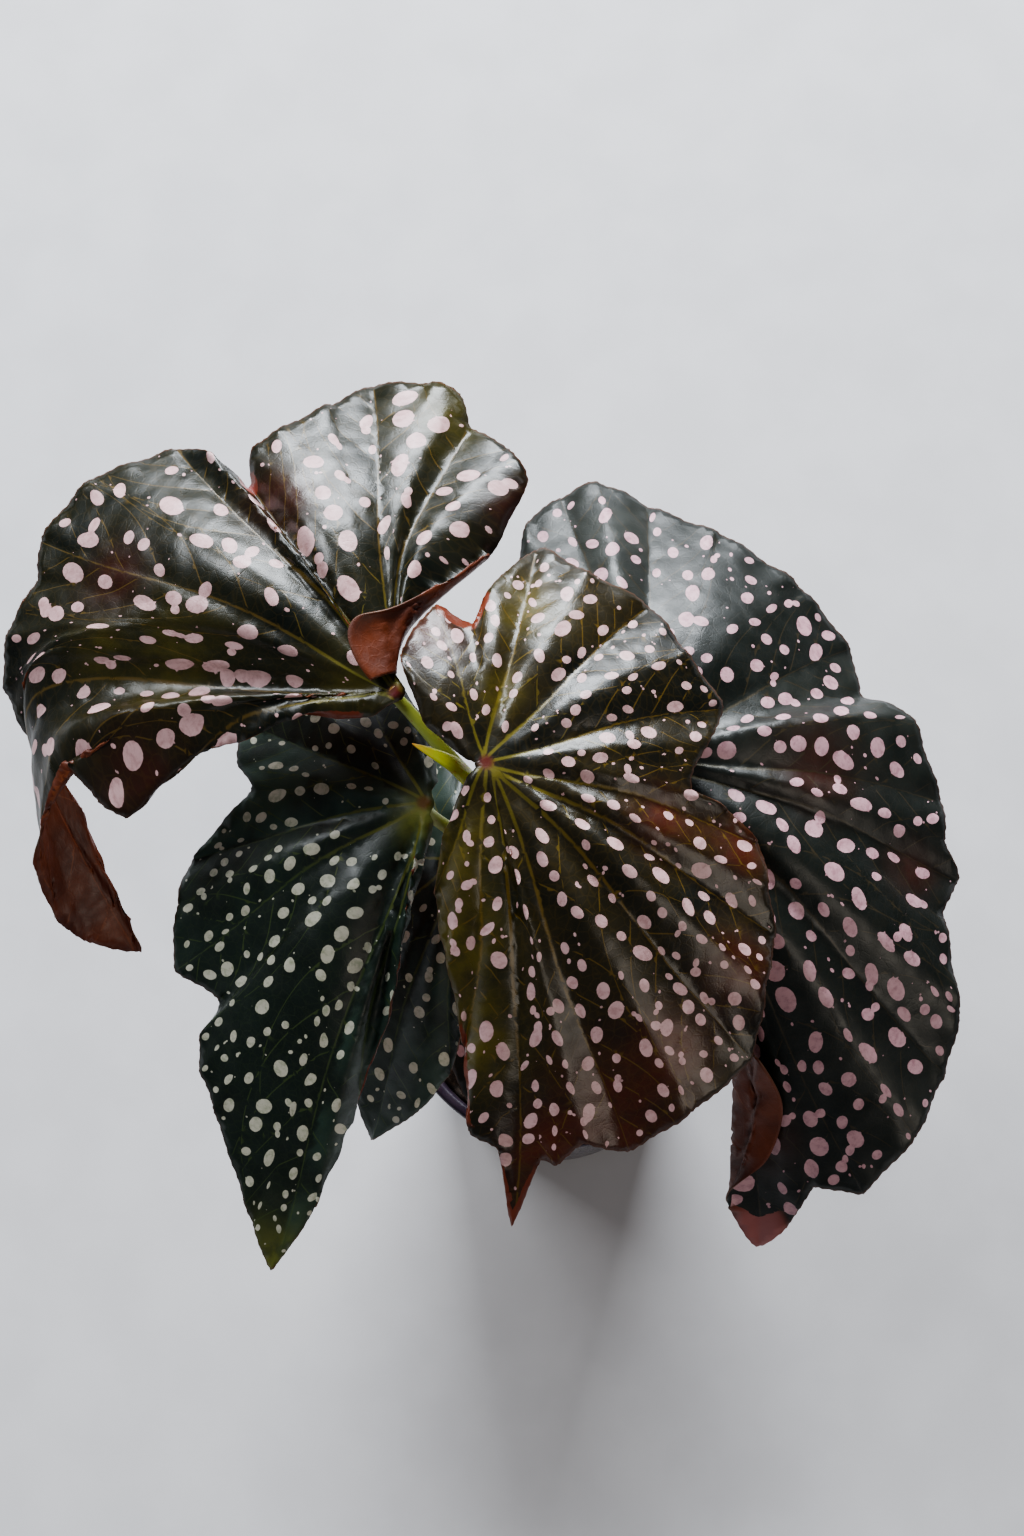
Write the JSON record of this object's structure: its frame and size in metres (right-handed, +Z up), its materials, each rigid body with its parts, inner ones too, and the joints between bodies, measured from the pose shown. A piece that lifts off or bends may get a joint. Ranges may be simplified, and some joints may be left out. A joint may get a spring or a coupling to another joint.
{
  "type": "potted begonia",
  "caption": "Spotted cane begonia with one upright stem and broad lobed leaves, growing in soil in a round tapered pot.",
  "frame": {"origin": "centre of the pot's underside", "axes": "+Z up along the pot's axis, -Y towards the viewer, +X to the viewer's right"},
  "size_m": [0.2776, 0.2429, 0.3125],
  "materials": {
    "pot_glaze": "satin",
    "soil": "matte",
    "stalk": "satin",
    "leaf": "glossy, with pinkish white spots"
  },
  "bodies": {
    "root": {"pot": "pot_glaze", "soil": "soil", "cane": "stalk", "leaf_upper_left": "leaf", "leaf_centre": "leaf", "leaf_right": "leaf", "leaf_lower_left": "leaf", "leaf_low": "leaf", "leaf_front": "leaf"}
  },
  "joints": []
}
